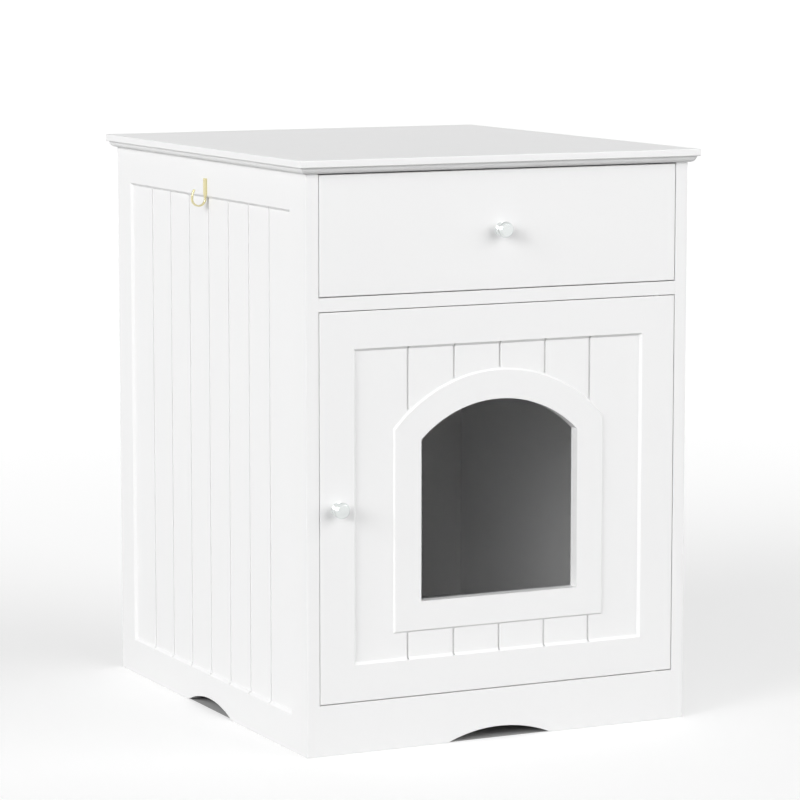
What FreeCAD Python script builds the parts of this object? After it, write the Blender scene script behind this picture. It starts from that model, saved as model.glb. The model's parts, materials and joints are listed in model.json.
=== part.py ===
import FreeCAD, Part
import math
import os
from collections import namedtuple

Vec = FreeCAD.Vector
X = Vec(1, 0, 0)
Y = Vec(0, 1, 0)
Z = Vec(0, 0, 1)
SIDES = (-1, 1)                  # left, right
PAST = 5.0                       # how far a cutter runs past a free face
NEAR = 0.1                       # how near an edge has to be to count as in a face
FITTING_FACETS = 6               # flats round each hidden bolt, dowel and screw, and its hole
CAM_FACETS = 8
KNOB_FACETS = 20
BALL_BANDS = 4

# Carcass. The origin is on the floor, at the middle of the body; the front faces -Y.
WIDTH = 471.0                    # over the side panels
DEPTH = 544.0                    # front edge to rear edge of the side panels
HEIGHT = 650.0
BOARD = 15.0                     # painted fibreboard
GAP = 1.0                        # round the inset door and drawer front
TOP_GAP = 1.5                    # over the drawer front
ARRIS = 0.6                      # softened corner of a painted board
HALF = WIDTH / 2
INNER = HALF - BOARD             # inner face of a side panel
FRONT = -DEPTH / 2
REAR = DEPTH / 2
BEHIND_FRONT = FRONT + BOARD     # rear face of the door, drawer front and toe rail

# Top board with its routed edge
OVERHANG_SIDE = 11.0
OVERHANG_END = 10.5
TOP_UNDER = HEIGHT - BOARD
BEAD_DROP = 8.3                  # height of the square upper edge
BEAD_STEP = 3.4                  # quirk between the upper edge and the ovolo
OVOLO_RADIUS = 6.3
TOP_ARRIS = 0.8

# Levels of the front, from the floor up
FLOOR_TOP = 56.3
DOOR_LOW = FLOOR_TOP + GAP
SHELF_UNDER = 486.6
SHELF_TOP = SHELF_UNDER + BOARD
DOOR_HIGH = SHELF_UNDER - GAP
DRAWER_LOW = SHELF_TOP + GAP
DRAWER_HIGH = TOP_UNDER - TOP_GAP
FRONT_HALF = INNER - GAP         # half width of the door and the drawer front

# Panelling
FRAME = 40.6                     # plain border round a sunk field
SUNK = 3.0                       # depth of the field
SLOPE = 3.0                      # run of the border's slope down to the field
GROOVE_PITCH = 56.4
GROOVE_WIDTH = 2.4
GROOVE_DEPTH = 2.2
SIDE_GROOVES = range(-3, 4)
DOOR_GROOVES = range(-2, 3)

# Doorway for the cat
ARCH_HALF = 97.0
ARCH_SILL = 162.0
ARCH_RADIUS = 137.8
ARCH_CENTRE = 243.4              # height of the arc's centre
ARCH_BORDER = 31.6               # raised surround
ARCH_PROUD = 2.0                 # its height over the field, and the run of its slope

# Toe arches in the base
TOE_CHORD = 129.4
TOE_RISE = 13.2
TOE_RADIUS = (TOE_CHORD ** 2 / 4 + TOE_RISE ** 2) / (2 * TOE_RISE)

# Back panel, let into grooves
BACK = 5.0
BACK_FIT = 0.1
BACK_IN = 5.0                    # depth of the grooves
BACK_FACE = REAR - BOARD
SHELF_AIR = 0.2                  # between the shelf and the back panel

# Knock-down fittings
CAM_RADIUS = 7.4
CAM_PLAY = 0.1
CAM_WALL = 2.6                   # board left behind a cam bore
CAM_REACH = 24.0                 # joint face to cam axis
BOLT_THREAD = 2.5
BOLT_SUNK = 10.0
BOLT_NECK = 2.0
BOLT_TAPER = 2.0                 # from the thread to the neck
BOLT_HEAD = 3.2
BOLT_HEAD_LENGTH = 2.5
BOLT_HEAD_TAPER = 1.5
BOLT_PAST = 1.0                  # the head's end beyond the cam's axis
BOLT_HOLE = 3.75
DOWEL_RADIUS = 4.0
DOWEL_SUNK = 10.0
DOWEL_REACH = 20.0
BOLT_AT = 200.0                  # before and behind the middle of each joint
DOWEL_AT = 141.0
RAIL_BOLT_AT = 110.0             # left and right of the middle
BACK_RAIL_BOLT_Z = 28.0
BACK_RAIL_DOWEL_Z = 11.0
TOE_DOWEL_Z = 28.0

# Pivot hinges of the door
PIVOT_X = FRONT_HALF - 22.0       # so far in that the door's front corner clears the side panel
PIVOT_Y = FRONT + 6.0
PIN_RADIUS = 2.5
PIN_LENGTH = 8.5
PIN_PLAY = 0.05
BUSH_RADIUS = 3.6
BUSH_DEPTH = 9.0
BUSH_FLANGE_RADIUS = 5.0
BUSH_FLANGE = 0.7
HINGE_LEAF = 2.0
HINGE_LEAF_X = (PIVOT_X - 37.0, PIVOT_X + 8.0)
HINGE_LEAF_Y = (PIVOT_Y - 4.0, PIVOT_Y + 6.0)
HINGE_SCREW_X = (PIVOT_X - 30.0, PIVOT_X - 14.0)
HINGE_SCREW_Y = PIVOT_Y + 1.0

# Knobs: radius and height above the board, from the flange to the face
KNOB_TURNS = (
    (0, 0.0), (7.9, 0.0), (7.9, 1.4), (5.8, 3.0), (5.1, 5.0), (6.1, 7.0),
    (8.9, 9.2), (9.1, 10.8), (8.4, 12.9), (6.8, 14.4), (0, 14.4))
KNOB_BORE = 2.0
KNOB_BORE_DEPTH = 7.0
KNOB_FROM_EDGE = 21.5
DOOR_KNOB = Vec(-FRONT_HALF + KNOB_FROM_EDGE, FRONT, 271.5)
DRAWER_KNOB = Vec(0, FRONT, (DRAWER_LOW + DRAWER_HIGH) / 2)

# Magnetic catch under the shelf, behind the door's upper left corner
CATCH_X = -172.0
CATCH_SIZE = Vec(30.0, 15.0, 13.0)
CATCH_EAR = Vec(48.0, 12.0, 2.5)
CATCH_SCREW_AT = 19.5
POLE = Vec(24.0, 15.0, 1.5)
MAGNET = Vec(22.0, 12.0, 4.0)
MAGNET_DROP = 1.0                # below the middle of the body
MAGNET_BACK = 1.0                # behind the poles' front ends
STRIKE = Vec(34.0, 1.2, 12.0)
STRIKE_Z = DOOR_HIGH - 6.7
CATCH_CLEAR = 0.1                # air between the poles and the strike when shut

# Scoop hook on the left side
HOOK_TOP = 614.0
HOOK_TURN = 591.0                # height where the shank starts to curl
HOOK_WIDTH = 7.5
HOOK_ARM_WIDTH = 3.4
HOOK_NECK = 597.0                # height below which the shank draws in to the arm's width
HOOK_THICK = 1.8
HOOK_REACH = 17.9
HOOK_TIP_RADIUS = 22.0
HOOK_TIP_TURN = 30.0             # degrees
HOOK_SCREW_Z = (598.5, 608.0)

# Drawer box
DRAWER_SIDE = 12.0
DRAWER_BOX_LOW = 512.0
DRAWER_BOX_HIGH = 612.0
DRAWER_LENGTH = 410.0
DRAWER_BASE = 4.0
DRAWER_BASE_Z = 520.0
DRAWER_BASE_IN = 5.0
DRAWER_BOLT_Z = (538.0, 594.0)
DRAWER_DOWEL_Z = 566.0
DRAWER_DOWEL_RADIUS = 3.0

# Ball-bearing runners. Sections are (out, up): out from the side panel, up from the centre line.
RUNNER_Z = 560.0
RUNNER_THICK = 12.7              # side panel to drawer side
DRAWER_HALF = INNER - RUNNER_THICK
RUNNER_STEEL = 1.2
RUNNER_LENGTH = 400.0
RUNNER_FRONT = BEHIND_FRONT + 3.0
OUTER_HALF = 17.5
OUTER_REACH = 9.4
OUTER_LIP = 1.3
INNER_HALF = 12.35
INNER_START = 2.6
INNER_LIP = 1.35
RUNNER_TRAVEL = 300.0
TAB_HALF = 4.0
TAB_AIR = 0.3                    # between a stop and the steel it passes or meets
CAGE_STEEL = 0.6
CAGE_OUT = (1.6, 8.6)
CAGE_LENGTH = 96.0
CAGE_STOP_AIR = 0.5
CAGE_FRONT = RUNNER_FRONT + RUNNER_STEEL + CAGE_STOP_AIR + RUNNER_TRAVEL / 2
BALL_RADIUS = 1.9
BALL_HOLE = 2.05
BALL_OUT = 6.0
BALL_UP = 14.35
BALLS_IN_ROW = 5
BALL_PITCH = 20.0
OUTER_SCREW_Y = (-236.0, -85.0, 141.0)
INNER_SCREW_Y = (-225.0, -60.0, 100.0)

# Screws: head radius, head height, shank radius, length from the surface the head is set on
PAN_TOP = 0.7                    # flat top of a pan head, as a share of its radius
PAN_CORNER = 0.5                 # where its side starts to round over, as a share of its height
Screw = namedtuple("Screw", "head_radius head shank length")
HINGE_SCREW = Screw(3.2, 1.7, 1.5, 20.0)
OUTER_SCREW = Screw(3.5, 1.8, 1.7, 10.0)
INNER_SCREW = Screw(3.6, 1.9, 1.6, 11.0)
CATCH_SCREW = Screw(2.8, 1.7, 1.4, 13.0)
STRIKE_SCREW = Screw(2.9, 1.6, 1.3, 11.0)
BOX_SCREW = Screw(3.4, 2.0, 1.6, 38.0)
KNOB_SCREW = Screw(4.0, 2.4, 2.0, BOARD + 6.5)
HOOK_SCREW = Screw(2.8, 1.9, 1.4, BOARD + 1.2)


def span(low_x, high_x, low_y, high_y, low_z, high_z):
    """A board between opposite faces."""
    size = Vec(high_x - low_x, high_y - low_y, high_z - low_z)
    return Part.makeBox(size.x, size.y, size.z, Vec(low_x, low_y, low_z))


def sided(side, near, far, ys, zs):
    """A board from near to far out from the middle, on the left (-1) or right (1)."""
    low, high = sorted((side * near, side * far))
    return span(low, high, ys[0], ys[1], zs[0], zs[1])


def block(centre, size):
    """A block round its centre."""
    return Part.makeBox(size.x, size.y, size.z, centre - size * 0.5)


def bar(radius, start, end):
    """A round bar between two points."""
    return Part.makeCylinder(radius, (end - start).Length, start, end - start)


def seat(shape, at, along):
    """The shape moved so that its own origin is at a point and its own Z runs along a direction."""
    shape.Placement = FreeCAD.Placement(at, FreeCAD.Rotation(Z, along))
    return shape


def turned(profile, at, along, facets=FITTING_FACETS):
    """A turned piece with flats, from an open (radius, height) profile that starts and ends on its axis.

    Heights are measured along a direction from a point.
    """
    rings = []
    for radius, height in profile:
        angles = [2 * math.pi * number / facets for number in range(facets)]
        rings.append([Vec(radius * math.cos(angle), radius * math.sin(angle), height) for angle in angles])
    flats = []
    for (low_radius, _), (high_radius, _), low, high in zip(profile, profile[1:], rings, rings[1:]):
        for number in range(facets):
            after = (number + 1) % facets
            corners = [low[number]]
            if low_radius:
                corners.append(low[after])
            corners.append(high[after])
            if high_radius:
                corners.append(high[number])
            flats.append(Part.Face(Part.makePolygon(corners + corners[:1])))
    solid = Part.Solid(Part.Shell(flats))
    if solid.Volume < 0:
        solid.reverse()
    return seat(solid, at, along)


def pin(radius, start, end, facets=FITTING_FACETS):
    """A pin with flats between two points, or the hole for one."""
    length = (end - start).Length
    profile = ((0, 0), (radius, 0), (radius, length), (0, length))
    return turned(profile, start, end - start, facets)


def poly_extrude(points, depth):
    """A flat outline extruded by a vector."""
    return Part.Face(Part.makePolygon(list(points) + [points[0]])).extrude(depth)


def soften(shape, width, chosen):
    """Ease the edges that a test picks."""
    return shape.makeChamfer(width, [edge for edge in shape.Edges if chosen(edge)])


def in_front(edge):
    """Whether an edge lies in the plane of the cabinet's front."""
    return edge.BoundBox.YMax < FRONT + NEAR


def outer_corner(edge):
    """Whether an edge of a side panel is one of its upright outer corners."""
    return edge.BoundBox.ZLength > BOARD and abs(edge.CenterOfMass.x) > HALF - NEAR


def group(solids):
    """Separate solids kept together in one node."""
    return Part.makeCompound(solids)


# ---------------------------------------------------------------- screws, bolts, cams and dowels

def flat_screw(kind, at, along):
    """Countersunk screw, its head flush with the surface at a point."""
    profile = ((0, 0), (kind.head_radius, 0), (kind.shank, kind.head), (kind.shank, kind.length),
               (0, kind.length))
    return turned(profile, at, along)


def pan_screw(kind, at, along):
    """Pan-head screw whose head stands on the surface at a point."""
    top = -kind.head
    profile = ((0, top), (kind.head_radius * PAN_TOP, top), (kind.head_radius, top * PAN_CORNER),
               (kind.head_radius, 0), (kind.shank, 0), (kind.shank, kind.length), (0, kind.length))
    return turned(profile, at, along)


CamJoint = namedtuple("CamJoint", "bolt cam cutters")


def cam_joint(at, along, cam_in, thickness=BOARD):
    """Bolt screwed in at a point, and the cam that grips its head in the next board.

    along runs from the bolt's board into the cam's board; cam_in runs from the cam's open face
    into its board; thickness is that board's.
    """
    centre = at + along * CAM_REACH
    mouth = centre - cam_in * (thickness / 2)
    depth = thickness - CAM_WALL
    thread_end = at - along * BOLT_SUNK
    head_end = BOLT_SUNK + CAM_REACH + BOLT_PAST
    head_start = head_end - BOLT_HEAD_LENGTH
    profile = ((0, 0), (BOLT_THREAD, 0), (BOLT_THREAD, BOLT_SUNK), (BOLT_NECK, BOLT_SUNK + BOLT_TAPER),
               (BOLT_NECK, head_start - BOLT_HEAD_TAPER), (BOLT_HEAD, head_start), (BOLT_HEAD, head_end),
               (0, head_end))
    bolt = turned(profile, thread_end, along)
    hollow = pin(BOLT_HOLE, at, centre + along * (2 * BOLT_PAST))
    cam = pin(CAM_RADIUS, mouth, mouth + cam_in * depth, CAM_FACETS).cut(hollow)
    bore = pin(CAM_RADIUS + CAM_PLAY, mouth - cam_in * PAST, mouth + cam_in * (depth + CAM_PLAY), CAM_FACETS)
    thread_hole = pin(BOLT_THREAD, thread_end, at)
    bolt_way = pin(BOLT_HOLE, at, centre)
    return CamJoint(bolt, cam, [bore, thread_hole, bolt_way])


def dowel(at, along, radius=DOWEL_RADIUS):
    """Beech dowel across the joint at a point."""
    return pin(radius, at - along * DOWEL_SUNK, at + along * DOWEL_REACH)


def carcass_cams():
    """Bolt and cam pairs of the carcass."""
    joints = []
    for side in SIDES:
        inward = X * -side
        for y in (-BOLT_AT, BOLT_AT):
            joints.append(cam_joint(Vec(side * (INNER + BOARD / 2), y, TOP_UNDER), Z * -1, X * side))
            for under in (SHELF_UNDER, FLOOR_TOP - BOARD):
                joints.append(cam_joint(Vec(side * INNER, y, under + BOARD / 2), inward, Z))
        joints.append(cam_joint(Vec(side * RAIL_BOLT_AT, BEHIND_FRONT, FLOOR_TOP - BOARD / 2), Y, Z))
        joints.append(cam_joint(Vec(side * INNER, REAR - BOARD / 2, BACK_RAIL_BOLT_Z), inward, Y))
    return joints


def carcass_dowels():
    """Dowels of the carcass."""
    pins = []
    for side in SIDES:
        inward = X * -side
        for y in (-DOWEL_AT, DOWEL_AT):
            pins.append(dowel(Vec(side * (INNER + BOARD / 2), y, TOP_UNDER), Z * -1))
            for under in (SHELF_UNDER, FLOOR_TOP - BOARD):
                pins.append(dowel(Vec(side * INNER, y, under + BOARD / 2), inward))
        pins.append(dowel(Vec(side * INNER, FRONT + BOARD / 2, TOE_DOWEL_Z), inward))
        pins.append(dowel(Vec(side * INNER, REAR - BOARD / 2, BACK_RAIL_DOWEL_Z), inward))
    return pins


def drawer_cams():
    """Bolt and cam pairs that hold the drawer front to the drawer sides."""
    middle = DRAWER_HALF - DRAWER_SIDE / 2
    joints = []
    for side in SIDES:
        for z in DRAWER_BOLT_Z:
            joints.append(cam_joint(Vec(side * middle, BEHIND_FRONT, z), Y, X * side, DRAWER_SIDE))
    return joints


def drawer_dowels():
    """Dowels between the drawer front and the drawer sides."""
    middle = DRAWER_HALF - DRAWER_SIDE / 2
    return [dowel(Vec(side * middle, BEHIND_FRONT, DRAWER_DOWEL_Z), Y, DRAWER_DOWEL_RADIUS) for side in SIDES]


# ---------------------------------------------------------------- carcass boards

def groove(x, y, inward, across, zs):
    """Cutter for one upright square groove: its open side is at a point, its floor lies inward."""
    half = across * (GROOVE_WIDTH / 2)
    mouth = Vec(x, y, zs[0])
    out, foot = inward * -PAST, inward * GROOVE_DEPTH
    points = [mouth - half + out, mouth - half + foot, mouth + half + foot, mouth + half + out]
    return poly_extrude(points, Z * (zs[1] - zs[0]))


def sunk_field(place, half, zs):
    """Cutter for a sunk field with a sloping border.

    The half width and the levels are the field's at the board's face. place turns a distance across, a level
    and a depth into a point.
    """
    rings = []
    for depth in (-PAST, SUNK):
        run = depth * SLOPE / SUNK
        across, low, high = half - run, zs[0] + run, zs[1] - run
        corners = [place(-across, low, depth), place(across, low, depth), place(across, high, depth),
                   place(-across, high, depth)]
        rings.append(Part.makePolygon(corners + corners[:1]))
    return Part.makeLoft(rings, True, True)


def toe_arch(start, end):
    """Cutter for the shallow arch in a bottom edge, through from one face to the other."""
    drop = Z * (TOE_RISE - TOE_RADIUS)
    return bar(TOE_RADIUS, start + drop, end + drop)


def back_grooves():
    """Cutter for the grooves that hold the back panel."""
    half = INNER + BACK_IN
    rear = BACK_FACE + BACK + 2 * BACK_FIT
    return span(-half, half, BACK_FACE, rear, FLOOR_TOP - BACK_IN, TOP_UNDER + BACK_IN)


def side_panel(side):
    """Side panel: sunk and grooved outside, arched at the floor."""
    panel = sided(side, INNER, HALF, (FRONT, REAR), (0, TOP_UNDER))
    panel = soften(panel, ARRIS, outer_corner)
    zs = (FRAME, TOP_UNDER - FRAME)
    cutters = [sunk_field(lambda along, z, depth: Vec(side * (HALF - depth), along, z), REAR - FRAME, zs)]
    for number in SIDE_GROOVES:
        cutters.append(groove(side * (HALF - SUNK), number * GROOVE_PITCH, X * -side, Y, zs))
    cutters.append(toe_arch(Vec(side * (INNER - PAST), 0, 0), Vec(side * (HALF + PAST), 0, 0)))
    cutters.append(back_grooves())
    return panel.cut(cutters)


def slab(half_x, half_y, low, high):
    """A plain slab round the middle."""
    return span(-half_x, half_x, -half_y, half_y, low, high)


def top_board():
    """Top board: square upper edge, with a quirk and an ovolo routed under it."""
    half_x = HALF + OVERHANG_SIDE
    half_y = REAR + OVERHANG_END
    quirk = HEIGHT - BEAD_DROP
    upper = slab(half_x, half_y, quirk, HEIGHT)
    upper = upper.makeChamfer(TOP_ARRIS, upper.Edges)
    lower = slab(half_x - BEAD_STEP, half_y - BEAD_STEP, TOP_UNDER, quirk + TOP_ARRIS)
    foot = [edge for edge in lower.Edges if edge.BoundBox.ZMax < TOP_UNDER + NEAR]
    lower = lower.makeFillet(OVOLO_RADIUS, foot)
    return upper.fuse(lower).removeSplitter().cut(back_grooves())


def drawer_shelf():
    """Shelf under the drawer; its front edge is the rail between drawer and door."""
    return span(-INNER, INNER, FRONT, BACK_FACE - SHELF_AIR, SHELF_UNDER, SHELF_TOP)


def bottom_board():
    """Floor of the litter compartment, behind the toe rail."""
    board = span(-INNER, INNER, BEHIND_FRONT, REAR, FLOOR_TOP - BOARD, FLOOR_TOP)
    return board.cut(back_grooves())


def toe_rail_front():
    """Toe rail under the door, flush with the side panels' front edges."""
    rail = span(-INNER, INNER, FRONT, BEHIND_FRONT, 0, FLOOR_TOP)
    return rail.cut(toe_arch(Vec(0, FRONT - PAST, 0), Vec(0, BEHIND_FRONT + PAST, 0)))


def toe_rail_back():
    """Toe rail under the rear edge of the bottom board."""
    rail = span(-INNER, INNER, BACK_FACE, REAR, 0, FLOOR_TOP - BOARD)
    return rail.cut(toe_arch(Vec(0, BACK_FACE - PAST, 0), Vec(0, REAR + PAST, 0)))


def back_panel():
    """Thin back panel, held in grooves on all four edges."""
    half = INNER + BACK_IN
    front = BACK_FACE + BACK_FIT
    return span(-half, half, front, front + BACK, FLOOR_TOP - BACK_IN, TOP_UNDER + BACK_IN)


# ---------------------------------------------------------------- door

def arch_outline(border, y):
    """The doorway's outline in an upright plane, grown by a border."""
    half = ARCH_HALF + border
    radius = ARCH_RADIUS + border
    low = ARCH_SILL - border
    spring = ARCH_CENTRE + math.sqrt(radius ** 2 - half ** 2)
    right_low = Vec(half, y, low)
    right_top = Vec(half, y, spring)
    left_top = Vec(-half, y, spring)
    left_low = Vec(-half, y, low)
    crown = Vec(0, y, ARCH_CENTRE + radius)
    edges = [
        Part.LineSegment(left_low, right_low).toShape(),
        Part.LineSegment(right_low, right_top).toShape(),
        Part.Arc(right_top, crown, left_top).toShape(),
        Part.LineSegment(left_top, left_low).toShape(),
    ]
    return Part.Wire(edges)


def surround():
    """The raised surround with its sloping edge, down past the field's floor."""
    face = FRONT + SUNK - ARCH_PROUD
    run = ARCH_PROUD + PAST
    outlines = [arch_outline(ARCH_BORDER, face), arch_outline(ARCH_BORDER + run, face + run)]
    return Part.makeLoft(outlines, True, True)


def door_panel():
    """Door: sunk grooved field, raised surround and the cat's doorway."""
    panel = span(-FRONT_HALF, FRONT_HALF, FRONT, BEHIND_FRONT, DOOR_LOW, DOOR_HIGH)
    panel = soften(panel, ARRIS, in_front)
    zs = (DOOR_LOW + FRAME, DOOR_HIGH - FRAME)
    sinkings = [sunk_field(lambda across, z, depth: Vec(across, FRONT + depth, z), FRONT_HALF - FRAME, zs)]
    for number in DOOR_GROOVES:
        sinkings.append(groove(number * GROOVE_PITCH, FRONT + SUNK, Y, X, zs))
    raised = surround()
    doorway = Part.Face(arch_outline(0, FRONT - PAST)).extrude(Y * (BOARD + 2 * PAST))
    mortises = [leaf_space(edge + outward.z * PAST, edge - outward.z * HINGE_LEAF)
                for edge, outward in hinge_ends().values()]
    return panel.cut([sinking.cut(raised) for sinking in sinkings] + [doorway] + mortises)


def hinge_ends():
    """Level of the door's edge and the way its pin points, for the lower and upper hinge."""
    return {"bottom": (DOOR_LOW, Z * -1), "top": (DOOR_HIGH, Z)}


def leaf_space(one_level, other_level):
    """The outline of a hinge leaf, from one level to another."""
    low, high = sorted((one_level, other_level))
    return span(HINGE_LEAF_X[0], HINGE_LEAF_X[1], HINGE_LEAF_Y[0], HINGE_LEAF_Y[1], low, high)


def pivot(level):
    """The point of the door's axis at a level."""
    return Vec(PIVOT_X, PIVOT_Y, level)


def hinge_leaf(edge, outward):
    """Leaf let into the door's edge, with the pin riveted to it."""
    inner_face = edge - outward.z * HINGE_LEAF
    spindle = bar(PIN_RADIUS, pivot(inner_face), pivot(edge) + outward * PIN_LENGTH)
    return leaf_space(edge, inner_face).fuse(spindle).removeSplitter()


def hinge_screws(edge, outward):
    """The two screws of one leaf."""
    screws = []
    for x in HINGE_SCREW_X:
        screws.append(flat_screw(HINGE_SCREW, Vec(x, HINGE_SCREW_Y, edge), outward * -1))
    return screws


def hinge_bush(edge, outward):
    """Flanged bush pressed into the board that the pin turns in."""
    start = pivot(edge) + outward * (GAP - BUSH_FLANGE)
    length = BUSH_FLANGE + BUSH_DEPTH
    profile = ((0, 0), (BUSH_FLANGE_RADIUS, 0), (BUSH_FLANGE_RADIUS, BUSH_FLANGE), (BUSH_RADIUS, BUSH_FLANGE),
               (BUSH_RADIUS, length), (0, length))
    return turned(profile, start, outward, CAM_FACETS).cut(pin_way(edge, outward))


def pin_way(edge, outward):
    """Cutter for the bore that one hinge pin turns in."""
    return bar(PIN_RADIUS + PIN_PLAY, pivot(edge), pivot(edge) + outward * (GAP + BUSH_DEPTH))


def knob(at):
    """Turned knob, its flange on the board's face at a point."""
    bore = pin(KNOB_BORE, at, at - Y * KNOB_BORE_DEPTH)
    return turned(KNOB_TURNS, at, Y * -1, KNOB_FACETS).cut(bore)


def knob_screw(at):
    """Machine screw through the board into the knob, its head on the rear face."""
    return pan_screw(KNOB_SCREW, at + Y * BOARD, Y * -1)


# ---------------------------------------------------------------- magnetic catch

def catch_centre():
    """Centre of the catch's body."""
    front = BEHIND_FRONT + STRIKE.y + CATCH_CLEAR
    return Vec(CATCH_X, front + CATCH_SIZE.y / 2, SHELF_UNDER - CATCH_SIZE.z / 2)


def catch_stack():
    """Boxes of the magnet and its two pole plates, open to the front."""
    centre = catch_centre()
    front = centre.y - CATCH_SIZE.y / 2
    level = centre.z - MAGNET_DROP
    magnet = block(Vec(centre.x, front + MAGNET_BACK + MAGNET.y / 2, level), MAGNET)
    poles = []
    for up in (-1, 1):
        poles.append(block(Vec(centre.x, front + POLE.y / 2, level + up * (MAGNET.z + POLE.z) / 2), POLE))
    return magnet, poles


def catch_housing():
    """Moulded body with an ear at each end."""
    centre = catch_centre()
    body = block(centre, CATCH_SIZE)
    ear_centre = Vec(centre.x, centre.y, SHELF_UNDER - CATCH_EAR.z / 2)
    magnet, poles = catch_stack()
    return body.fuse(block(ear_centre, CATCH_EAR)).removeSplitter().cut([magnet] + poles)


def catch_screws():
    """The two screws that hold the catch under the shelf."""
    centre = catch_centre()
    seats = [Vec(centre.x + side * CATCH_SCREW_AT, centre.y, SHELF_UNDER - CATCH_EAR.z) for side in SIDES]
    return [pan_screw(CATCH_SCREW, at, Z) for at in seats]


def strike_plate():
    """Steel plate on the door's rear face that the magnet pulls on."""
    return block(Vec(CATCH_X, BEHIND_FRONT + STRIKE.y / 2, STRIKE_Z), STRIKE)


def strike_screw():
    """Screw of the strike plate."""
    return flat_screw(STRIKE_SCREW, Vec(CATCH_X, BEHIND_FRONT + STRIKE.y, STRIKE_Z), Y * -1)


# ---------------------------------------------------------------- scoop hook

def hook_point(out, z):
    """A point of the hook's outline, so far out from the left side panel."""
    return Vec(-HALF - out, -HOOK_WIDTH / 2, z)


def hook_arc(centre_out, radius, start, end):
    """Arc of the outline round a centre at the turn's height; angles from straight out, upwards."""
    points = []
    for angle in (start, (start + end) / 2, end):
        turn = math.radians(angle)
        points.append(hook_point(centre_out + radius * math.cos(turn), HOOK_TURN + radius * math.sin(turn)))
    return Part.Arc(*points).toShape(), points[0], points[-1]


def hook_blank():
    """Space for the hook's strip: shank, neck and first half of the turn, then the narrow arm."""
    bend = HOOK_REACH / 2
    corners = [(HOOK_WIDTH, HOOK_TOP), (HOOK_WIDTH, HOOK_NECK), (HOOK_ARM_WIDTH, HOOK_TURN),
               (HOOK_ARM_WIDTH, HOOK_TURN - bend)]
    outline = [Vec(-HALF, side * width / 2, z) for side, run in ((-1, corners), (1, reversed(corners)))
               for width, z in run]
    shank = Part.Face(Part.makePolygon(outline + outline[:1])).extrude(X * -bend)
    half = HOOK_ARM_WIDTH / 2
    return shank.fuse(span(-HALF - HOOK_REACH, -HALF - bend, -half, half, HOOK_TURN - bend, HOOK_TOP))


def scoop_hook():
    """Hook bent from a flat strip: shank, half turn, and a tip that curls back a little."""
    bend = HOOK_REACH / 2
    tip = HOOK_REACH - HOOK_TIP_RADIUS
    outer_bend, outer_foot, outer_side = hook_arc(bend, bend, -180, 0)
    outer_tip, _, outer_end = hook_arc(tip, HOOK_TIP_RADIUS, 0, HOOK_TIP_TURN)
    inner_tip, inner_end, inner_side = hook_arc(tip, HOOK_TIP_RADIUS - HOOK_THICK, HOOK_TIP_TURN, 0)
    inner_bend, _, inner_foot = hook_arc(bend, bend - HOOK_THICK, 0, -180)
    wall_top = hook_point(0, HOOK_TOP)
    face_top = hook_point(HOOK_THICK, HOOK_TOP)
    edges = [
        Part.LineSegment(wall_top, outer_foot).toShape(), outer_bend, outer_tip,
        Part.LineSegment(outer_end, inner_end).toShape(), inner_tip, inner_bend,
        Part.LineSegment(inner_foot, face_top).toShape(),
        Part.LineSegment(face_top, wall_top).toShape(),
    ]
    return Part.Face(Part.Wire(edges)).extrude(Y * HOOK_WIDTH).common(hook_blank())


def hook_screws():
    """Screws that hold the hook from inside the drawer's bay."""
    return [pan_screw(HOOK_SCREW, Vec(-INNER, 0, z), X * -1) for z in HOOK_SCREW_Z]


# ---------------------------------------------------------------- drawer box

def drawer_base_space():
    """Cutter for the grooves that hold the drawer's base."""
    half = DRAWER_HALF - DRAWER_SIDE + DRAWER_BASE_IN
    rear = BEHIND_FRONT + DRAWER_LENGTH - DRAWER_SIDE + DRAWER_BASE_IN
    return span(-half, half, BEHIND_FRONT - DRAWER_BASE_IN, rear, DRAWER_BASE_Z, DRAWER_BASE_Z + DRAWER_BASE)


def drawer_front():
    """Plain inset drawer front."""
    board = span(-FRONT_HALF, FRONT_HALF, FRONT, BEHIND_FRONT, DRAWER_LOW, DRAWER_HIGH)
    board = soften(board, ARRIS, in_front)
    return board.cut(drawer_base_space())


def drawer_side(side):
    """Drawer side, grooved for the base."""
    ys = (BEHIND_FRONT, BEHIND_FRONT + DRAWER_LENGTH)
    board = sided(side, DRAWER_HALF - DRAWER_SIDE, DRAWER_HALF, ys, (DRAWER_BOX_LOW, DRAWER_BOX_HIGH))
    return board.cut(drawer_base_space())


def drawer_back():
    """Drawer back, between the sides."""
    half = DRAWER_HALF - DRAWER_SIDE
    rear = BEHIND_FRONT + DRAWER_LENGTH
    board = span(-half, half, rear - DRAWER_SIDE, rear, DRAWER_BOX_LOW, DRAWER_BOX_HIGH)
    return board.cut(drawer_base_space())


def drawer_screws():
    """Screws through the drawer sides into the drawer back."""
    screws = []
    for side in SIDES:
        for z in DRAWER_BOLT_Z:
            at = Vec(side * DRAWER_HALF, BEHIND_FRONT + DRAWER_LENGTH - DRAWER_SIDE / 2, z)
            screws.append(flat_screw(BOX_SCREW, at, X * -side))
    return screws


# ---------------------------------------------------------------- ball-bearing runners

def rail(side, section, start, length):
    """A rolled section beside one side panel, extruded front to back."""
    points = [Vec(side * (INNER - out), start, RUNNER_Z + up) for out, up in section]
    return poly_extrude(points, Y * length)


def mirrored(upper):
    """A closed section from its upper half, listed from the back out and repeated below."""
    return list(upper) + [(out, -up) for out, up in reversed(upper)]


def tab(side, near, far, start):
    """Small stop bent out of a runner's steel, square to the travel."""
    low, high = sorted((side * (INNER - near), side * (INNER - far)))
    return span(low, high, start, start + RUNNER_STEEL, RUNNER_Z - TAB_HALF, RUNNER_Z + TAB_HALF)


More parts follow.
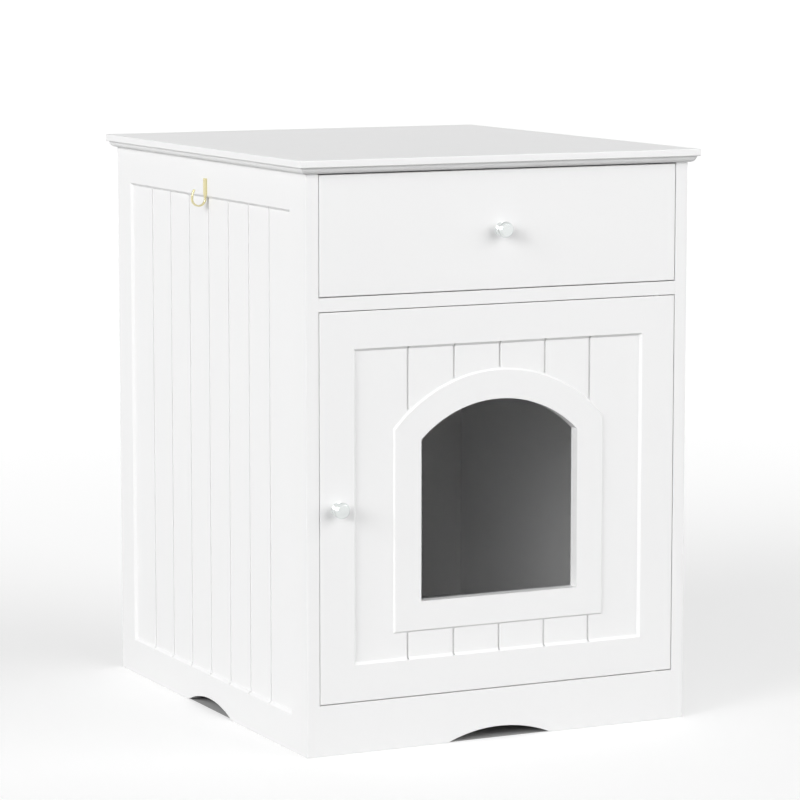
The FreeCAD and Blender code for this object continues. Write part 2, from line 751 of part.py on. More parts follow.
def runner_outer(side):
    """Channel screwed to the side panel, with a front stop for the cage and a rear stop."""
    top = OUTER_HALF - RUNNER_STEEL
    lip = top - OUTER_LIP
    inside = OUTER_REACH - RUNNER_STEEL
    upper = ((0, OUTER_HALF), (OUTER_REACH, OUTER_HALF), (OUTER_REACH, lip), (inside, lip), (inside, top),
             (RUNNER_STEEL, top))
    tail = RUNNER_FRONT + RUNNER_LENGTH
    channel = rail(side, mirrored(upper), RUNNER_FRONT, RUNNER_LENGTH + 2 * RUNNER_STEEL)
    stops = [tab(side, 0, INNER_START, RUNNER_FRONT), tab(side, 0, OUTER_REACH, tail + TAB_AIR)]
    return channel.fuse(stops).removeSplitter()


def runner_inner(side):
    """Channel screwed to the drawer side, with a rear stop that meets the cage."""
    flange = INNER_HALF - RUNNER_STEEL
    lip_out = INNER_START + RUNNER_STEEL
    upper = ((RUNNER_THICK, INNER_HALF), (lip_out, INNER_HALF), (lip_out, INNER_HALF + INNER_LIP),
             (INNER_START, INNER_HALF + INNER_LIP), (INNER_START, flange),
             (RUNNER_THICK - RUNNER_STEEL, flange))
    channel = rail(side, mirrored(upper), RUNNER_FRONT, RUNNER_LENGTH)
    stop = tab(side, RUNNER_STEEL + TAB_AIR, RUNNER_THICK, RUNNER_FRONT + RUNNER_LENGTH - RUNNER_STEEL)
    return channel.fuse(stop).removeSplitter()


def ball_centres(side):
    """Centres of the balls, an upper and a lower row."""
    x = side * (INNER - BALL_OUT)
    first = CAGE_FRONT + (CAGE_LENGTH - BALL_PITCH * (BALLS_IN_ROW - 1)) / 2
    centres = []
    for up in (-BALL_UP, BALL_UP):
        for number in range(BALLS_IN_ROW):
            centres.append(Vec(x, first + number * BALL_PITCH, RUNNER_Z + up))
    return centres


def ball_cage(side):
    """Pressed strip that spaces the balls."""
    near, far = CAGE_OUT
    high = BALL_UP + CAGE_STEEL / 2
    low = BALL_UP - CAGE_STEEL / 2
    upper = ((near, high), (far, high), (far, low), (near + CAGE_STEEL, low))
    strip = rail(side, mirrored(upper), CAGE_FRONT, CAGE_LENGTH)
    return strip.cut([pin(BALL_HOLE, at - Z, at + Z) for at in ball_centres(side)])


def balls(side):
    """Steel balls of one runner."""
    profile = []
    for number in range(BALL_BANDS + 1):
        angle = math.pi * number / BALL_BANDS
        radius = BALL_RADIUS * math.sin(angle) if 0 < number < BALL_BANDS else 0
        profile.append((radius, -BALL_RADIUS * math.cos(angle)))
    return group([turned(profile, at, Z) for at in ball_centres(side)])


def outer_runner_screws(side):
    """Countersunk screws that hold the outer channel."""
    ats = [Vec(side * (INNER - RUNNER_STEEL), y, RUNNER_Z) for y in OUTER_SCREW_Y]
    return [flat_screw(OUTER_SCREW, at, X * side) for at in ats]


def inner_runner_screws(side):
    """Pan-head screws that hold the inner channel."""
    ats = [Vec(side * (DRAWER_HALF + RUNNER_STEEL), y, RUNNER_Z) for y in INNER_SCREW_Y]
    return [pan_screw(INNER_SCREW, at, X * -side) for at in ats]


# ---------------------------------------------------------------- assembly

def fitted(board, cutters):
    """The board with every hole that a fitting near it needs."""
    near = [tool for tool in cutters if tool.BoundBox.intersect(board.BoundBox)]
    return board.cut(near) if near else board


def cabinet_parts():
    """Everything that stands still."""
    cams = carcass_cams()
    pins = carcass_dowels()
    outer_screws = outer_runner_screws(-1) + outer_runner_screws(1)
    bushes = {name: hinge_bush(edge, outward) for name, (edge, outward) in hinge_ends().items()}
    cutters = [tool for joint in cams for tool in joint.cutters]
    cutters += pins + outer_screws + catch_screws() + hook_screws() + list(bushes.values())
    cutters += [pin_way(edge, outward) for edge, outward in hinge_ends().values()]
    magnet, poles = catch_stack()
    return {
        "top_board": fitted(top_board(), cutters),
        "side_panel_left": fitted(side_panel(-1), cutters),
        "side_panel_right": fitted(side_panel(1), cutters),
        "drawer_shelf": fitted(drawer_shelf(), cutters),
        "bottom_board": fitted(bottom_board(), cutters),
        "toe_rail_front": fitted(toe_rail_front(), cutters),
        "toe_rail_back": fitted(toe_rail_back(), cutters),
        "back_panel": back_panel(),
        "cam_locks": group([joint.cam for joint in cams]),
        "cam_bolts": group([joint.bolt for joint in cams]),
        "dowels": group(pins),
        "runner_outer_left": fitted(runner_outer(-1), outer_screws),
        "runner_outer_right": fitted(runner_outer(1), outer_screws),
        "runner_outer_screws": group(outer_screws),
        "hinge_bush_bottom": bushes["bottom"],
        "hinge_bush_top": bushes["top"],
        "catch_housing": fitted(catch_housing(), catch_screws()),
        "catch_magnet": magnet,
        "catch_poles": group(poles),
        "catch_screws": group(catch_screws()),
        "scoop_hook": fitted(scoop_hook(), hook_screws()),
        "hook_screws": group(hook_screws()),
    }


def door_parts():
    """Everything that swings with the door."""
    leaves = {name: hinge_leaf(edge, outward) for name, (edge, outward) in hinge_ends().items()}
    screws = [screw for edge, outward in hinge_ends().values() for screw in hinge_screws(edge, outward)]
    cutters = screws + [knob_screw(DOOR_KNOB), strike_screw()]
    return {
        "door_panel": fitted(door_panel(), cutters),
        "door_knob": knob(DOOR_KNOB),
        "door_knob_screw": group([knob_screw(DOOR_KNOB)]),
        "hinge_leaf_bottom": fitted(leaves["bottom"], screws),
        "hinge_leaf_top": fitted(leaves["top"], screws),
        "hinge_screws": group(screws),
        "strike_plate": fitted(strike_plate(), [strike_screw()]),
        "strike_screw": group([strike_screw()]),
    }


def drawer_parts():
    """Everything that slides with the drawer."""
    cams = drawer_cams()
    pins = drawer_dowels()
    inner_screws = inner_runner_screws(-1) + inner_runner_screws(1)
    cutters = [tool for joint in cams for tool in joint.cutters] + pins + inner_screws
    cutters += drawer_screws() + [knob_screw(DRAWER_KNOB)]
    return {
        "drawer_front": fitted(drawer_front(), cutters),
        "drawer_side_left": fitted(drawer_side(-1), cutters),
        "drawer_side_right": fitted(drawer_side(1), cutters),
        "drawer_back": fitted(drawer_back(), cutters),
        "drawer_base": drawer_base_space(),
        "drawer_cam_locks": group([joint.cam for joint in cams]),
        "drawer_cam_bolts": group([joint.bolt for joint in cams]),
        "drawer_dowels": group(pins),
        "drawer_screws": group(drawer_screws()),
        "drawer_knob": knob(DRAWER_KNOB),
        "drawer_knob_screw": group([knob_screw(DRAWER_KNOB)]),
        "runner_inner_left": fitted(runner_inner(-1), inner_screws),
        "runner_inner_right": fitted(runner_inner(1), inner_screws),
        "runner_inner_screws": group(inner_screws),
    }


def cage_parts():
    """The ball cages, which travel half as far as the drawer."""
    return {
        "ball_cage_left": ball_cage(-1),
        "balls_left": balls(-1),
        "ball_cage_right": ball_cage(1),
        "balls_right": balls(1),
    }


def main():
    """Write one STEP file per piece or group of like pieces."""
    os.makedirs("parts", exist_ok=True)
    for parts in (cabinet_parts(), door_parts(), drawer_parts(), cage_parts()):
        for name, shape in parts.items():
            shape.exportStep(os.path.join("parts", name + ".step"))
            print(name, len(shape.Solids), round(shape.Volume / 1000, 2), shape.isValid())


main()
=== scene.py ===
# A white painted cat litter box cabinet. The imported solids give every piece's place. The boards, the catch's
# housing and the sheet steel are eased copies of them. The knobs, the scoop hook, the screws, cams, balls and
# bushes are modelled here. Dowels, bolts, the ball cages and the catch's magnet show as they are packed.

import functools
import json
import logging
import math
from contextlib import contextmanager
from dataclasses import dataclass, field
from enum import Enum
from typing import Callable, ClassVar, Iterator, Optional, Sequence

import bmesh
import bpy
from mathutils import Matrix, Vector

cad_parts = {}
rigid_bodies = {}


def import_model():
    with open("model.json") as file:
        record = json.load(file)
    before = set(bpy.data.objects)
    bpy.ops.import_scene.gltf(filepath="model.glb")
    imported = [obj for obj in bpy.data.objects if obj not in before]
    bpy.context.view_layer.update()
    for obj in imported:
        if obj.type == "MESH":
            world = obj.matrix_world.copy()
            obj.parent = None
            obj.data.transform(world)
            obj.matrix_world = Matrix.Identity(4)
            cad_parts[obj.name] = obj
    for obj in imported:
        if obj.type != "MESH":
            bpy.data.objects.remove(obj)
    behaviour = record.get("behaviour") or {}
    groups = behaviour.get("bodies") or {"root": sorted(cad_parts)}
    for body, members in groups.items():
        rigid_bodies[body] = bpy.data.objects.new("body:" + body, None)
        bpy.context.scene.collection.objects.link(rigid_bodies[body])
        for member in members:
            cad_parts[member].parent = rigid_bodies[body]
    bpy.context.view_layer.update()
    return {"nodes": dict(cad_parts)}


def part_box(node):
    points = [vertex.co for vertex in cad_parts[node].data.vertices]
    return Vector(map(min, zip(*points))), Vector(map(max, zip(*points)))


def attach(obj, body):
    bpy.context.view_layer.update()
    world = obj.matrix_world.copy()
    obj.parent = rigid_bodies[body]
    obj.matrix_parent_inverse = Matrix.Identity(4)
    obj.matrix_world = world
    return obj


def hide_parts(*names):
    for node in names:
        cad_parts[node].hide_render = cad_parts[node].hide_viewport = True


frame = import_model()

MM = 0.001
WELD = 0.005 * MM  # vertices nearer than this are one
FLAT = math.radians(0.5)  # facets that turn less than this lie in one plane
FACING = 0.9  # a normal with this much along an axis faces that way
Colour = tuple[float, float, float]
Stretch = tuple[float, float, float]
Station = tuple[float, float]
log = logging.getLogger("cabinet")


class Body(Enum):
    """The bodies that pieces ride on."""

    CABINET = "cabinet"
    DOOR = "door"
    DRAWER = "drawer"
    CAGE_LEFT = "ball_cage_left"
    CAGE_RIGHT = "ball_cage_right"


class Axis(Enum):
    """The row frame's axes."""

    X = 0
    Y = 1
    Z = 2

    def vector(self, sign: int = 1) -> Vector:
        """The unit vector along the axis, or against it for a sign of -1."""
        return Vector([sign if number == self.value else 0 for number in range(3)])


# ---------------------------------------------------------------- finishes


class ShaderTree:
    """The node tree of one material, wired node by node."""

    noise_reach: ClassVar[tuple[float, float]] = (0.3, 0.7)

    def __init__(self, name: str) -> None:
        """Start an empty material.

        Args:
            name: The material's name.
        """
        self.material = bpy.data.materials.new(name)
        self.material.use_nodes = True
        self.nodes = self.material.node_tree.nodes
        self.nodes.clear()
        self.output = self.nodes.new("ShaderNodeOutputMaterial")
        self.coordinates = self.nodes.new("ShaderNodeTexCoord")

    def link(self, source: bpy.types.NodeSocket, target: bpy.types.NodeSocket) -> None:
        """Wire one socket to another."""
        self.material.node_tree.links.new(source, target)

    def noise(self, scale: float, detail: float = 2.0,
              stretch: Stretch = (1.0, 1.0, 1.0)) -> bpy.types.NodeSocket:
        """Add a noise in object space.

        Args:
            scale: Features per metre.
            detail: Octaves.
            stretch: How much faster the noise changes along each axis.

        Returns:
            The noise's value, about 0.5 on the average.
        """
        mapping = self.nodes.new("ShaderNodeMapping")
        mapping.inputs["Scale"].default_value = stretch
        self.link(self.coordinates.outputs["Object"], mapping.inputs["Vector"])
        noise = self.nodes.new("ShaderNodeTexNoise")
        noise.inputs["Scale"].default_value = scale
        noise.inputs["Detail"].default_value = detail
        self.link(mapping.outputs["Vector"], noise.inputs["Vector"])
        return noise.outputs["Fac"]

    def spread(self, value: bpy.types.NodeSocket, low: float, high: float) -> bpy.types.NodeSocket:
        """Map the middle of a noise to a range.

        Args:
            value: The noise.
            low: Result at the low end of the noise's reach and below.
            high: Result at the high end and above.

        Returns:
            The mapped value.
        """
        ranged = self.nodes.new("ShaderNodeMapRange")
        ranged.inputs["From Min"].default_value, ranged.inputs["From Max"].default_value = self.noise_reach
        ranged.inputs["To Min"].default_value = low
        ranged.inputs["To Max"].default_value = high
        self.link(value, ranged.inputs["Value"])
        return ranged.outputs["Result"]

    def blend(self, factor: bpy.types.NodeSocket, first: Colour, second: Colour) -> bpy.types.NodeSocket:
        """Mix two colours by a factor.

        Args:
            factor: Share of the second colour.
            first: Colour at 0.
            second: Colour at 1.

        Returns:
            The mixed colour.
        """
        mix = self.nodes.new("ShaderNodeMix")
        mix.data_type = "RGBA"
        mix.inputs[6].default_value = (*first, 1.0)
        mix.inputs[7].default_value = (*second, 1.0)
        self.link(factor, mix.inputs[0])
        return mix.outputs[2]

    def bump(self, height: bpy.types.NodeSocket, depth: float,
             under: Optional[bpy.types.NodeSocket] = None) -> bpy.types.NodeSocket:
        """Turn a height into a bumped normal.

        Args:
            height: Height between 0 and 1.
            depth: What a height of 1 stands for, in metres.
            under: Normal of a coarser bump that this one lies on.

        Returns:
            The normal.
        """
        bump = self.nodes.new("ShaderNodeBump")
        bump.inputs["Distance"].default_value = depth
        bump.inputs["Strength"].default_value = 1.0
        self.link(height, bump.inputs["Height"])
        if under is not None:
            self.link(under, bump.inputs["Normal"])
        return bump.outputs["Normal"]

    def surface(self, colour: bpy.types.NodeSocket, roughness: bpy.types.NodeSocket,
                normal: bpy.types.NodeSocket, metallic: float) -> bpy.types.Material:
        """Finish the tree with the surface's shader.

        Args:
            colour: Base colour.
            roughness: Roughness.
            normal: Bumped normal.
            metallic: 1 for a metal, 0 for anything else.

        Returns:
            The material.
        """
        shader = self.nodes.new("ShaderNodeBsdfPrincipled")
        shader.inputs["Metallic"].default_value = metallic
        self.link(colour, shader.inputs["Base Color"])
        self.link(roughness, shader.inputs["Roughness"])
        self.link(normal, shader.inputs["Normal"])
        self.link(shader.outputs["BSDF"], self.output.inputs["Surface"])
        return self.material


@dataclass(frozen=True)
class Finish:
    """How a surface is finished.

    Each finish varies a little in colour and gloss over the piece, and has a fine relief.

    Attributes:
        colour: Its main colour.
        shade: The colour that it drifts to in patches.
        roughness: Least and most roughness.
        patch_scale: Patches per metre. The gloss varies four times as fast.
        grain_scale: Grains of the fine relief per metre.
        grain_depth: Depth of the grain, in metres.
        metallic: 1 for a metal.
        stretch: How much faster all of it changes along each axis.
        wave_scale: Waves of the slow relief per metre.
        wave_depth: Depth of the slow relief, in metres, or 0 for none.
    """

    name: str
    colour: Colour
    shade: Colour
    roughness: tuple[float, float]
    patch_scale: float
    grain_scale: float
    grain_depth: float
    metallic: float = 0.0
    stretch: Stretch = (1.0, 1.0, 1.0)
    wave_scale: float = 0.0
    wave_depth: float = 0.0

    @functools.cache
    def material(self) -> bpy.types.Material:
        """The finish's material, made once."""
        tree = ShaderTree(self.name)
        patches = tree.noise(self.patch_scale, detail=3.0, stretch=self.stretch)
        colour = tree.blend(tree.spread(patches, 0.0, 1.0), self.colour, self.shade)
        gloss = tree.noise(self.patch_scale * 4, detail=4.0, stretch=self.stretch)
        roughness = tree.spread(gloss, *self.roughness)
        normal = None
        if self.wave_depth:
            normal = tree.bump(tree.noise(self.wave_scale, stretch=self.stretch), self.wave_depth)
        normal = tree.bump(tree.noise(self.grain_scale, stretch=self.stretch), self.grain_depth, normal)
        return tree.surface(colour, roughness, normal, self.metallic)


PAINT = Finish("satin_white_paint", (0.876, 0.876, 0.876), (0.871, 0.871, 0.872), (0.38, 0.42), 14.0, 650.0,
               0.000006, wave_scale=150.0, wave_depth=0.000008)
DRAWER_PAINT = Finish("drawer_white_paint", (0.86, 0.86, 0.855), (0.845, 0.845, 0.84), (0.42, 0.5), 12.0,
                      700.0, 0.00001, wave_scale=120.0, wave_depth=0.00002)
BACK_FACING = Finish("white_faced_board", (0.86, 0.86, 0.855), (0.845, 0.845, 0.838), (0.48, 0.58), 14.0,
                     900.0, 0.00002)
CHROME = Finish("polished_chrome", (0.775, 0.805, 0.795), (0.755, 0.78, 0.775), (0.04, 0.07), 120.0, 2500.0,
                0.0000006, metallic=1.0)
BRASS = Finish("pale_brass", (0.76, 0.695, 0.42), (0.71, 0.64, 0.35), (0.16, 0.24), 90.0, 2200.0, 0.000003,
               metallic=1.0, stretch=(1.0, 1.0, 0.15))
ZINC_PLATE = Finish("zinc_plate", (0.66, 0.67, 0.69), (0.58, 0.60, 0.63), (0.26, 0.38), 60.0, 1500.0,
                    0.000004, metallic=1.0, stretch=(1.0, 0.2, 1.0))
CAST_ZINC = Finish("cast_zinc", (0.58, 0.58, 0.585), (0.50, 0.50, 0.51), (0.42, 0.55), 200.0, 1800.0, 0.00002,
                   metallic=1.0)
BEARING_STEEL = Finish("bearing_steel", (0.74, 0.74, 0.75), (0.70, 0.70, 0.71), (0.08, 0.14), 300.0, 3000.0,
                       0.000001, metallic=1.0)
NYLON = Finish("moulded_nylon", (0.82, 0.82, 0.80), (0.79, 0.79, 0.765), (0.42, 0.52), 80.0, 1600.0, 0.00001)
FERRITE = Finish("sintered_ferrite", (0.045, 0.045, 0.048), (0.030, 0.030, 0.032), (0.55, 0.7), 150.0, 1400.0,
                 0.00002)
BEECH = Finish("bare_beech", (0.60, 0.40, 0.22), (0.50, 0.31, 0.16), (0.6, 0.72), 60.0, 900.0, 0.00003,
               stretch=(0.2, 1.0, 1.0))


# ---------------------------------------------------------------- modelling


class Workpiece:
    """A mesh on the bench, shaped by edit-mode operators and modifiers into a finished piece."""

    def __init__(self, made: bpy.types.Object, name: str) -> None:
        """Take an object to the bench.

        Args:
            made: The object, such as a new primitive.
            name: The piece's name.
        """
        self.made = made
        made.name = name
        made.data.name = name

    @staticmethod
    def clear() -> None:
        """Deselect everything."""
        for other in bpy.context.view_layer.objects:
            other.select_set(False)

    @classmethod
    def block(cls, name: str, centre: Sequence[float], size: Sequence[float]) -> "Workpiece":
        """Start from a block.

        Args:
            name: The piece's name.
            centre: Its centre.
            size: Its three sizes.

        Returns:
            The workpiece.
        """
        cls.clear()
        bpy.ops.mesh.primitive_cube_add(size=1.0, location=centre, scale=size)
        piece = cls(bpy.context.object, name)
        piece.settle()
        return piece

    @classmethod
    def turned(cls, name: str, stations: Sequence[Station], segments: int) -> "Workpiece":
        """Turn a piece about Z, from a disc that is extruded and resized from station to station.

        Args:
            name: The piece's name.
            stations: Radius and height of each station, from the start's flat end to the other flat end.
            segments: Segments round the piece.

        Returns:
            The workpiece, closed at both ends.
        """
        cls.clear()
        radius, height = stations[0]
        bpy.ops.mesh.primitive_circle_add(vertices=segments, radius=radius, fill_type="NGON",
                                          location=(0.0, 0.0, height))
        piece = cls(bpy.context.object, name)
        piece.settle()
        with piece.edited():
            bpy.ops.mesh.select_all(action="SELECT")
            for next_radius, next_height in stations[1:]:
                bpy.ops.mesh.extrude_region_move(
                    TRANSFORM_OT_translate={"value": (0.0, 0.0, next_height - height)})
                ratio = next_radius / radius
                bpy.ops.transform.resize(value=(ratio, ratio, 1.0), center_override=(0.0, 0.0, next_height))
                radius, height = next_radius, next_height
            bpy.ops.mesh.select_all(action="SELECT")
            bpy.ops.mesh.normals_make_consistent(inside=False)
        return piece

    @classmethod
    def copy_of(cls, name: str, node: str) -> "Workpiece":
        """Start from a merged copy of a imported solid.

        Args:
            name: The piece's name.
            node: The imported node.

        Returns:
            The workpiece, its facets that lie in one plane dissolved.
        """
        cls.clear()
        copied = bpy.data.objects.new(name, frame["nodes"][node].data.copy())
        bpy.context.scene.collection.objects.link(copied)
        piece = cls(copied, name)
        with piece.edited():
            bpy.ops.mesh.select_all(action="SELECT")
            bpy.ops.mesh.remove_doubles(threshold=WELD)
            bpy.ops.mesh.dissolve_limited(angle_limit=FLAT)
        return piece

    def hold(self) -> None:
        """Select this piece alone and make it the active one."""
        self.clear()
        self.made.select_set(True)
        bpy.context.view_layer.objects.active = self.made

    def settle(self) -> None:
        """Apply the object's place, turn and size to its mesh."""
        self.hold()
        bpy.ops.object.transform_apply(location=True, rotation=True, scale=True)

    @contextmanager
    def edited(self) -> Iterator[None]:
        """Keep the piece in edit mode for a while, with nothing selected at first."""
        self.hold()
        bpy.ops.object.mode_set(mode="EDIT")
        bpy.ops.mesh.select_mode(type="FACE")
        bpy.ops.mesh.select_all(action="DESELECT")
        try:
            yield
        finally:
            bpy.ops.object.mode_set(mode="OBJECT")

    def pick_faces(self, wanted: Callable[[Vector, Vector], bool]) -> None:
        """Select faces in edit mode, and nothing else.

        Args:
            wanted: Test on a face's centre and normal.
        """
        mesh = bmesh.from_edit_mesh(self.made.data)
        for face in mesh.faces:
            face.select_set(wanted(face.calc_center_median(), face.normal))
        mesh.select_flush_mode()
        bmesh.update_edit_mesh(self.made.data)

    def apply(self, kind: str, **settings: object) -> None:
        """Add a modifier and apply it.

        Args:
            kind: The modifier's type.
            settings: Its settings.
        """
        self.hold()
        modifier = self.made.modifiers.new(kind.title(), kind)
        for key, value in settings.items():
            setattr(modifier, key, value)
        bpy.ops.object.modifier_apply(modifier=modifier.name)

    def ease(self, width: float, segments: int = 2, angle: float = 28.0) -> None:
        """Round over the edges.

        Args:
            width: Width of the round.
            segments: Facets across it.
            angle: Edges at least this sharp are rounded, in degrees.
        """
        self.apply("BEVEL", width=width, segments=segments, limit_method="ANGLE",
                   angle_limit=math.radians(angle), use_clamp_overlap=True, harden_normals=False)

    def cut(self, tool: "Workpiece") -> None:
        """Cut another piece's shape out of this one, and throw the tool away."""
        self.apply("BOOLEAN", operation="DIFFERENCE", solver="EXACT", object=tool.made)
        tool.discard()

    def add(self, tool: "Workpiece") -> None:
        """Fuse another piece's shape to this one, and throw the tool away."""
        self.apply("BOOLEAN", operation="UNION", solver="EXACT", object=tool.made)
        tool.discard()

    def discard(self) -> None:
        """Throw the piece away."""
        data = self.made.data
        bpy.data.objects.remove(self.made)
        bpy.data.meshes.remove(data)

    def seated(self, name: str, at: Vector, along: Vector) -> "Workpiece":
        """Copy the piece to a place, its own Z turned along a direction.

        Args:
            name: The copy's name.
            at: Where the piece's own origin goes.
            along: Where its own Z points.

        Returns:
            The copy, with its own mesh.
        """
        copied = bpy.data.objects.new(name, self.made.data.copy())
        bpy.context.scene.collection.objects.link(copied)
        copied.matrix_world = Matrix.Translation(at) @ along.to_track_quat("Z", "Y").to_matrix().to_4x4()
        bpy.context.view_layer.update()
        piece = Workpiece(copied, name)
        piece.settle()
        return piece

    def merge(self, others: Sequence["Workpiece"]) -> None:
        """Join other pieces into this one as separate shells.

        Args:
            others: The pieces, which are used up.
        """
        self.hold()
        for piece in others:
            piece.made.select_set(True)
        bpy.ops.object.join()

    def finished(self, body: Body, slot: str, finish: Finish, nodes: Sequence[str],
                 smooth: float = 35.0) -> None:
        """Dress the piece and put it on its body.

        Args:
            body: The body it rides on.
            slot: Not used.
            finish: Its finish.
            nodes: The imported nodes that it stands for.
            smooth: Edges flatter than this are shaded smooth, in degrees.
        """
        self.hold()
        bpy.ops.object.shade_smooth_by_angle(angle=math.radians(smooth))
        self.apply("WEIGHTED_NORMAL", mode="FACE_AREA", weight=50, keep_sharp=True)
        self.made.data.materials.clear()
        self.made.data.materials.append(finish.material())
        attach(self.made, body.value)
        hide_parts(*nodes)
        log.info("%s: %d faces, on %s", self.made.name, len(self.made.data.polygons), body.value)


@dataclass(frozen=True)
class SolidBox:
    """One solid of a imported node: its corners, and which end of each axis is the wider."""

    low: Vector
    high: Vector
    wide_end: tuple[int, int, int]

    @property
    def centre(self) -> Vector:
        """The box's centre."""
        return (self.low + self.high) / 2

    @property
    def size(self) -> Vector:
        """The box's sizes."""
        return self.high - self.low

    def end(self, axis: Axis, sign: int) -> Vector:
        """Find the middle of the box's face at one end of an axis.

        Args:
            axis: The axis.
            sign: 1 for its high end, -1 for its low end.

        Returns:
            The point.
        """
        point = self.centre
        point[axis.value] = self.high[axis.value] if sign > 0 else self.low[axis.value]
        return point


def solids_of(node: str) -> list[SolidBox]:
    """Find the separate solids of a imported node.

    Args:
        node: The node.

    Returns:
        One box for each solid.
    """
    mesh = bmesh.new()
    mesh.from_mesh(frame["nodes"][node].data)
    bmesh.ops.remove_doubles(mesh, verts=mesh.verts, dist=WELD)
    waiting = set(mesh.verts)
    boxes = []
    while waiting:
        group = [waiting.pop()]
        for vert in group:
            for edge in vert.link_edges:
                other = edge.other_vert(vert)
                if other in waiting:
                    waiting.discard(other)
                    group.append(other)
        places = [vert.co.copy() for vert in group]
        low = Vector([min(place[axis] for place in places) for axis in range(3)])
        high = Vector([max(place[axis] for place in places) for axis in range(3)])
        boxes.append(SolidBox(low, high, tuple(wider_end(places, axis, low, high) for axis in range(3))))
    mesh.free()
    return sorted(boxes, key=lambda box: tuple(box.low))


def wider_end(places: Sequence[Vector], axis: int, low: Vector, high: Vector) -> int:
    """Tell which end of a solid is the wider.

    Args:
        places: The solid's vertices.
        axis: The axis, as a number.
        low: Lowest corner.
        high: Highest corner.

    Returns:
        -1 for the low end, 1 for the high end.
    """
    middle = (low + high) / 2
    reach = {-1: 0.0, 1: 0.0}
    for place in places:
        end = 1 if place[axis] > middle[axis] else -1
        off = place - middle
        off[axis] = 0.0
        reach[end] = max(reach[end], off.length)
    return 1 if reach[1] > reach[-1] else -1


# ---------------------------------------------------------------- boards


@dataclass
class Boards:
    """The painted boards of one body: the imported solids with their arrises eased."""

    body: Body
    names: tuple[str, ...]
    slot: str
    finish: Finish
    arris: float = 0.25 * MM

    def build(self) -> None:
        """Ease and dress each board."""
        for name in self.names:
            board = Workpiece.copy_of(name + "_eased", name)
            board.ease(self.arris)
            board.finished(self.body, self.slot, self.finish, [name])


@dataclass
class FoldedSteel:
    """Sheet steel of one body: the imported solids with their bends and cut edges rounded."""

    body: Body
    names: tuple[str, ...]
    slot: str = "zinc_plated_steel"
    finish: Finish = ZINC_PLATE
    bend: float = 0.3 * MM

    def build(self) -> None:
        """Round and dress each piece."""
        for name in self.names:
            sheet = Workpiece.copy_of(name + "_folded", name)
            sheet.ease(self.bend)
            sheet.finished(self.body, self.slot, self.finish, [name])


@dataclass
class KeptNodes:
    """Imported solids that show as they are, with a finish of their own."""

    names: tuple[str, ...]
    finish: Finish

    def build(self) -> None:
        """Dress each solid."""
        for name in self.names:
            solid = frame["nodes"][name]
            solid.data.materials.clear()
            solid.data.materials.append(self.finish.material())
            log.info("%s: kept", name)


# ---------------------------------------------------------------- knobs and hook


@dataclass
class Knob:
    """A turned and polished knob, standing out to the front.

    Its stations are the profile's radii and heights in millimetres, from the flange at the door to the face.
    """

    node: str
    body: Body
    segments: int = 72
    edge: float = 0.12 * MM
    stations: ClassVar[tuple[Station, ...]] = (
        (7.7, 0.0), (7.9, 0.15), (7.9, 0.95), (7.75, 1.3), (7.4, 1.55), (6.8, 1.8), (6.2, 2.2), (5.7, 2.8),
        (5.35, 3.5), (5.15, 4.3), (5.1, 5.0), (5.2, 5.7), (5.55, 6.5), (6.15, 7.2), (6.95, 7.9), (7.8, 8.5),
        (8.5, 9.1), (8.9, 9.7), (9.08, 10.3), (9.1, 10.9), (8.98, 11.5), (8.72, 12.1), (8.35, 12.7),
        (7.9, 13.25), (7.4, 13.8), (6.95, 14.15), (6.75, 14.28), (5.1, 14.335), (3.4, 14.37), (1.7, 14.393),
        (0.3, 14.4))

    def build(self) -> None:
        """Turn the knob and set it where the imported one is."""
        low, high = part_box(self.node)
        profile = [(radius * MM, height * MM) for radius, height in self.stations]
        blank = Workpiece.turned(self.node + "_blank", profile, self.segments)
        foot = Vector(((low.x + high.x) / 2, high.y, (low.z + high.z) / 2))
        knob = blank.seated(self.node + "_turned", foot, Axis.Y.vector(-1))
        blank.discard()
        knob.ease(self.edge, segments=2, angle=32.0)
        knob.finished(self.body, "polished_chrome", CHROME, [self.node], smooth=30.0)


@dataclass
class ScoopHook:
    """The hook for the litter scoop, bent from flat strip that draws in to a narrow arm."""

    node: str = "scoop_hook"
    width: float = 7.5 * MM
    arm_width: float = 3.4 * MM
    thick: float = 1.8 * MM
    reach: float = 17.9 * MM
    neck_level: float = 597.0 * MM
    turn_level: float = 591.0 * MM
    tip_radius: float = 22.0 * MM
    tip_turn: float = 30.0
    bend_steps: int = 32
    tip_steps: int = 10
    edge: float = 0.3 * MM
    seam: float = 0.002 * MM

    def build(self) -> None:
        """Bend the hook round from its shank."""
        low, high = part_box(self.node)
        wall = high.x
        middle = (low.y + high.y) / 2
        shank = high.z - self.neck_level
        hook = Workpiece.block(
            self.node + "_bent", (wall - self.thick / 2, middle, self.neck_level + shank / 2),
            (self.thick, self.width, shank))
        bend = (wall - self.reach / 2, middle, self.turn_level)
        tip = (wall - self.reach + self.tip_radius, middle, self.turn_level)
        with hook.edited():
            hook.pick_faces(lambda centre, normal: normal.z < -FACING)
            bpy.ops.mesh.extrude_region_move(
                TRANSFORM_OT_translate={"value": (0.0, 0.0, self.turn_level - self.neck_level)})
            bpy.ops.transform.resize(value=(1.0, self.arm_width / self.width, 1.0),
                                     center_override=(wall, middle, self.turn_level))
            bpy.ops.mesh.spin(steps=self.bend_steps, angle=-math.pi, center=bend, axis=(0.0, 1.0, 0.0))
            bpy.ops.mesh.spin(steps=self.tip_steps, angle=-math.radians(self.tip_turn), center=tip,
                              axis=(0.0, 1.0, 0.0))
            bpy.ops.mesh.select_all(action="SELECT")
            bpy.ops.mesh.remove_doubles(threshold=self.seam)
            bpy.ops.mesh.normals_make_consistent(inside=False)
        hook.ease(self.edge, segments=3, angle=40.0)
        hook.finished(Body.CABINET, "pale_brass", BRASS, [self.node])


# ---------------------------------------------------------------- screws, cams and balls


